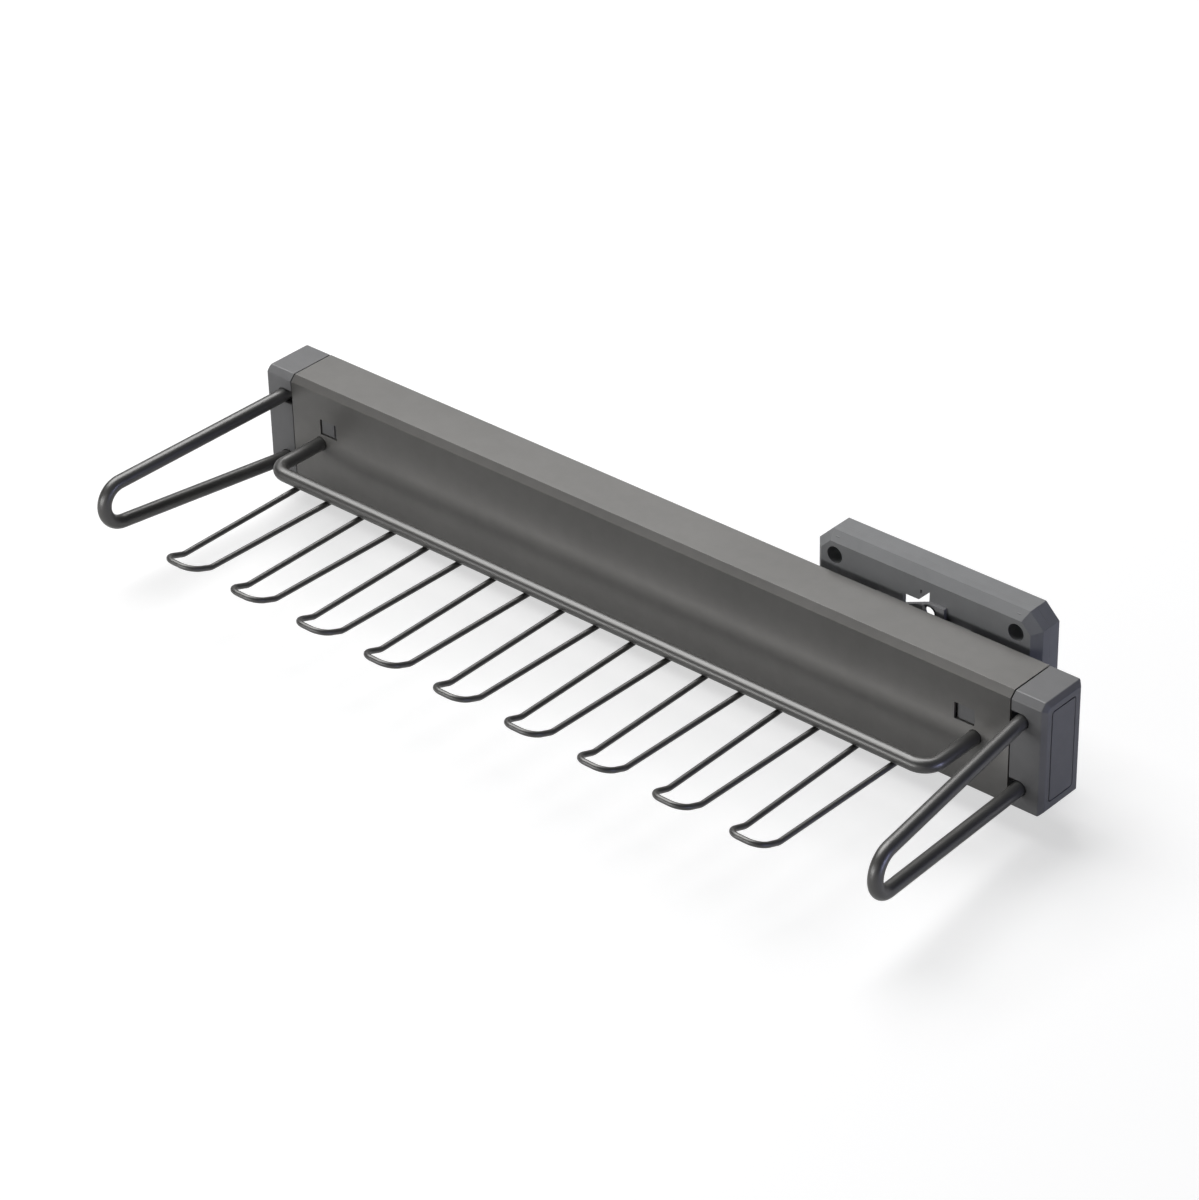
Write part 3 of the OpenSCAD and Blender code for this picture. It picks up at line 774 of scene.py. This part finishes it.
def make_loops():
    """One wire loop with its upturned tip, and its copies along the bar."""
    height = BAR_Z - ROD / 2 - WIRE / 2 - WELD_GAP
    run = LOOP_BEND_AT - LOOP_START
    lean = math.atan((LOOP_ROOT - LOOP_TIP) / 2 / run)
    taper = math.degrees(lean)
    length = run / math.cos(lean)
    slant = math.sin(lean)
    rise = math.radians(LOOP_LIFT)
    tip = LOOP_TIP - 2 * LOOP_CORNER * (1 - slant) - 2 * slant * (LOOP_STRAIGHT + LOOP_BEND * rise)
    tilted = Vector((0, math.sin(rise), math.cos(rise)))
    # away from the housing on the left leg, then up, round the tip, down and back
    heading = Vector((math.sin(lean), -math.cos(lean), 0))
    middle = RACK_LENGTH / 2 - (LOOP_COUNT - 1) / 2 * LOOP_PITCH - LOOP_SHIFT
    begin = rack(middle - LOOP_ROOT / 2, -LOOP_START, height)
    steps = [(length, LOOP_LIFT, LOOP_BEND, (-1, 0, 0)), (LOOP_STRAIGHT, 90 - taper, LOOP_CORNER, tilted),
             (tip, 90 - taper, LOOP_CORNER, tilted), (LOOP_STRAIGHT, LOOP_LIFT, LOOP_BEND, (1, 0, 0)),
             (length, 0, 0, tilted)]
    first = bent_rod("loop_1", WIRE, begin, heading, steps, sides=20)
    smooth(first, 40)
    for number in range(2, LOOP_COUNT + 1):
        other = twin(first, f"loop_{number}", (number - 1) * LOOP_PITCH)
        dress(other, RODS, "rack", "rod_paint", f"tie_loop_{number}")
    dress(first, RODS, "rack", "rod_paint", "tie_loop_1")


# Wall plate and slide bracket
def make_plate():
    """The moulded wall plate: bevelled front, cut corners, bosses, ribs, holes and two windows."""
    wide = (-PLATE_HALF_X, PLATE_HALF_X)
    high = (-PLATE_HALF_Z, PLATE_HALF_Z)
    obj = box("plate", wide, (-PLATE_DEPTH, 0), high, part)
    edit(obj)
    pick_edges(obj, lambda a, b: runs(a, b, "y"))
    bevel(PLATE_CORNER)
    pick_edges(obj, lambda a, b: at(a, b, y=-PLATE_DEPTH))
    bevel(PLATE_BEVEL)
    pick_faces(obj, lambda middle, normal: normal.y > FACING)
    inset(PLATE_WALL)
    extrude(y=PLATE_FLOOR)
    pick_edges(obj, lambda a, b: at(a, b, y=PLATE_FLOOR))
    bevel(PLATE_INNER_BEVEL)
    done()
    carve(obj, *plate_bosses(), *plate_ribs(), operation="UNION")
    carve(obj, *plate_holes(), *plate_windows())
    soften(obj, PLATE_EDGE, segments=3, angle=25)
    return obj


def plate_bosses():
    """Round posts on the plate's inner floor: four for the wall screws, four for the bracket's."""
    radius = HEAD_RADIUS + BOSS_WALL
    bosses = [drum("boss", x, (BOSS_ROOT, 0), z, radius, place=part) for x, z in WALL_SCREWS]
    posts = [drum("boss", x, (BOSS_ROOT, POST_BACK), z, POST_RADIUS, 40, part) for x, z in BRACKET_SCREWS]
    return bosses + posts


def plate_ribs():
    """Upright ribs through the wall screws' bosses, short level ones beside them, and a long one."""
    ribs = []
    for x in (-HOLE_X, HOLE_X):
        upright = (-RIB_REACH_Z, RIB_REACH_Z)
        ribs.append(box("rib", (x - RIB_HALF, x + RIB_HALF), (BOSS_ROOT, -2 * SHY), upright, part))
    for span in ((-RIB_REACH_X, -RIB_FROM), (RIB_FROM, RIB_REACH_X)):
        for z in (-HOLE_Z, HOLE_Z):
            ribs.append(box("rib", span, (BOSS_ROOT, -SHY), (z - RIB_HALF, z + RIB_HALF), part))
    level = (-RIB_REACH_X, RIB_REACH_X)
    ribs.append(box("rib", level, (BOSS_ROOT, -SHY), (-RIB_HALF, RIB_HALF), part))
    return ribs


def plate_holes():
    """Cutters for the counterbored wall screws and the bracket's screws."""
    bores = [drum("bore", x, (IN_FRONT, OVER), z, HOLE_RADIUS, 32, part) for x, z in WALL_SCREWS]
    sunk = (IN_FRONT, HEAD_FLOOR)
    heads = [drum("counterbore", x, sunk, z, HEAD_RADIUS, place=part) for x, z in WALL_SCREWS]
    reach = (IN_FRONT, SCREW_END)
    fixings = [drum("bore", x, reach, z, SCREW_RADIUS, 32, part) for x, z in BRACKET_SCREWS]
    return bores + heads + fixings


def plate_windows():
    """Cutters for the upper window, the lower one that mirrors it, their sight holes and a nick."""
    through = (IN_FRONT, PLATE_FLOOR + OVER)
    cutters = [prism("window", [(x, side * z) for x, z in PLATE_WINDOW], through) for side in (1, -1)]
    cutters += [drum("sight", SIGHT_X, through, side * SIGHT_Z, SIGHT_RADIUS, 40, part) for side in (-1, 1)]
    cutters.append(box("slot", NICK_X, (IN_FRONT, NICK_BACK), NICK_Z, part))
    return cutters


def make_bracket():
    """The pressed steel bracket between the slider and the plate, with its raised and bored lug."""
    half, inner, top = BRACKET_HALF, BRACKET_INNER, BRACKET_TOP
    obj = box("bracket", (-half, half), (BRACKET_NEAR, BRACKET_FAR), (-BRACKET_ARM, BRACKET_ARM), part)
    depth = (BRACKET_NEAR + BRACKET_SHEET, BRACKET_FAR + OVER)
    carve(obj, box("hollow", (-half - OVER, half + OVER), depth, (-inner, inner), part))
    left, right = LUG_X
    raised = [(right, top), (right, LUG_TOP), (left, LUG_TOP), (LUG_FOOT, top)]
    upper = [(-half, inner), (half, inner), (half, top), *raised, (-half, top)]
    lower = [(-half, -inner), (half, -inner), (half, -top), (-half, -top)]
    flange = (BRACKET_FAR - BRACKET_SHEET, BRACKET_FAR - SHY)
    carve(obj, prism("lug", upper, flange), prism("flange", lower, flange), operation="UNION")
    behind = (BRACKET_FAR - BEYOND, BRACKET_FAR + OVER)
    before = (BRACKET_NEAR - OVER, BRACKET_NEAR + BEYOND)
    cutters = [drum("bore", x, behind, z, SCREW_RADIUS, 32, part) for x, z in BRACKET_SCREWS]
    cutters += [drum("bore", x, before, z, SCREW_RADIUS, 32, part) for x, z in SLIDER_SCREWS]
    cutters.append(drum("bore", LUG_HOLE_X, behind, LUG_HOLE_Z, LUG_HOLE_RADIUS, place=part))
    carve(obj, *cutters)
    soften(obj, BRACKET_EDGE)
    return obj


def make_mount():
    dress(make_plate(), PLATE, "mount", "plate_plastic", "mount_plate")
    dress(make_bracket(), BRACKET, "mount", "slide_steel", "slide_bracket")


# CAD nodes that stay
def dress_nodes():
    steel = ["bracket_screws", "slider", "slider_screws", "cage_upper", "cage_lower",
             "balls_upper", "balls_lower", "rail", "rail_studs", "rail_nuts", "bar_screws"]
    for names, material in ((steel, STEEL), (["rail_bumper_left", "rail_bumper_right"], RUBBER)):
        for name in names:
            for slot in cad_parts[name].material_slots:
                slot.material = material


# Camera, light and floor
def look(obj, position, target, roll=0.0):
    """Points an object's -Z at the target, with Z up, rolled by an angle."""
    back = (position - target).normalized()
    across = Vector((0, 0, 1)).cross(back).normalized()
    up = back.cross(across)
    angle = math.radians(roll)
    right = across * math.cos(angle) + up * math.sin(angle)
    top = up * math.cos(angle) - across * math.sin(angle)
    axes = Matrix((right, top, back)).transposed().to_4x4()
    obj.matrix_world = Matrix.Translation(position) @ axes


def make_camera():
    data = bpy.data.cameras.new("camera")
    data.lens = CAMERA_LENS
    data.sensor_width = CAMERA_FILM
    data.sensor_fit = "HORIZONTAL"
    data.clip_end = 50.0
    camera = bpy.data.objects.new("camera", data)
    bpy.context.collection.objects.link(camera)
    look(camera, part(*CAMERA_AT), part(*CAMERA_TARGET), CAMERA_ROLL)
    bpy.context.scene.camera = camera


def lamp(name, offset, size, power, aim=(0, 0, 0), colour=WHITE):
    """A rectangular lamp. Its place and aim are metres from the lamps' centre, its power watts."""
    data = bpy.data.lights.new(name, "AREA")
    data.shape = "RECTANGLE"
    data.size, data.size_y = size
    data.energy = power
    data.color = colour
    obj = bpy.data.objects.new(name, data)
    bpy.context.collection.objects.link(obj)
    centre = part(*LAMP_CENTRE)
    look(obj, centre + Vector(offset), centre + Vector(aim))


def make_lamps():
    lamp("key_soft", (-1.05, 0.3, 2.05), (2.4, 1.8), 58.0)
    lamp("back_soft", (-1.0, 1.25, 0.75), (3.4, 1.5), 1.6)
    lamp("front_strip", (-0.3, -1.1, 0.16), (1.0, 0.3), 4.4)
    lamp("front_fill", (0.35, -0.9, 0.25), (0.7, 0.4), 0.5, aim=(0.15, 0, 0))
    lamp("right_fill", (1.7, 0.2, 0.0), (0.8, 0.4), 8.0, colour=(0.58, 0.62, 1.0))


def make_world():
    """White where the camera sees it, and a faint cool light on the object."""
    world = bpy.data.worlds.new("world")
    bpy.context.scene.world = world
    graph = Graph(world)
    lit = graph.node("ShaderNodeBackground", None, {"Color": opaque((0.95, 0.97, 1.0)), "Strength": 0.016})
    shown = graph.node("ShaderNodeBackground", None, {"Color": opaque(WHITE), "Strength": 1.0})
    both = graph.blend(graph.light_path("Is Camera Ray"), lit, shown)
    graph.node("ShaderNodeOutputWorld", None, {"Surface": both})


def make_floor():
    """A white floor that keeps the object's shadow near it and glows fully white away from it."""
    deselect()
    bpy.ops.mesh.primitive_plane_add(size=8.0, location=(0, 0, FLOOR_Z * MM))
    floor = named("floor")
    graph = Graph(bpy.data.materials.new("floor_white"))
    seen = graph.light_path("Is Camera Ray") + graph.light_path("Is Glossy Ray") * FLOOR_GLOSSY_SHARE
    away = graph.node("ShaderNodeVectorMath", {"operation": "LENGTH"}, {0: graph.place()}, "Value")
    share = seen * (away.ramp(*FLOOR_CLEARING) * (1 - FLOOR_NEAR_SHARE) + FLOOR_NEAR_SHARE)
    tone = graph.mix(seen, opaque(WHITE, FLOOR_UNSEEN), opaque(WHITE, FLOOR_SEEN))
    paint = graph.node("ShaderNodeBsdfDiffuse", None, {"Color": tone})
    glow = graph.node("ShaderNodeEmission", None, {"Color": opaque(WHITE), "Strength": FLOOR_GLOW})
    graph.node("ShaderNodeOutputMaterial", None, {"Surface": graph.blend(share, paint, glow)})
    floor.data.materials.append(graph.owner)


make_camera()
make_lamps()
make_world()
make_floor()
make_housing()
make_caps()
make_panels()
make_bar()
make_side_loops()
make_loops()
make_mount()
dress_nodes()

bpy.context.scene.view_settings.view_transform = "Standard"
